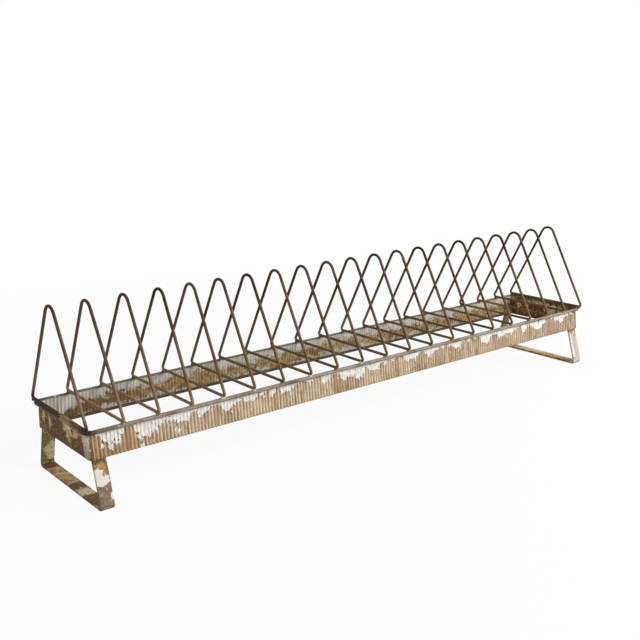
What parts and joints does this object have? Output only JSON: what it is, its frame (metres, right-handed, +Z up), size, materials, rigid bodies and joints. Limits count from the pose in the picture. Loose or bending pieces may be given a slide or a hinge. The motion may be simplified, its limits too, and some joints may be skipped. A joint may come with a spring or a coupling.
{
  "type": "plate serving rack",
  "caption": "Long low wire rack that holds plates on edge: bent wire dividers on a rimmed, fluted sheet band with plain ends, standing on two bent strap legs.",
  "frame": {"origin": "on the floor under the middle of the rack", "axes": "+X along the rack, -Y towards its front, +Z up"},
  "size_m": [0.7944, 0.15, 0.1976],
  "materials": {
    "wire": "dark bronze-brown paint, worn to paler tan in places",
    "fluted_sheet": "tan and grey-white paint, flaking along the edges, with rust stains",
    "end_sheet": "dark brown paint with worn tan and cream patches",
    "leg_strap": "ochre, cream and dark brown worn paint over steel strap"
  },
  "bodies": {
    "root": {"divider_01": "wire", "divider_02": "wire", "divider_03": "wire", "divider_04": "wire", "divider_05": "wire", "divider_06": "wire", "divider_07": "wire", "divider_08": "wire", "divider_09": "wire", "divider_10": "wire", "divider_11": "wire", "divider_12": "wire", "divider_13": "wire", "divider_14": "wire", "divider_15": "wire", "divider_16": "wire", "divider_17": "wire", "divider_18": "wire", "divider_19": "wire", "divider_20": "wire", "divider_21": "wire", "rim_wire": "wire", "front_lower_wire": "wire", "back_lower_wire": "wire", "front_panel": "fluted_sheet", "back_panel": "fluted_sheet", "left_end_cap": "end_sheet", "right_end_cap": "end_sheet", "left_leg": "leg_strap", "right_leg": "leg_strap"}
  },
  "joints": []
}
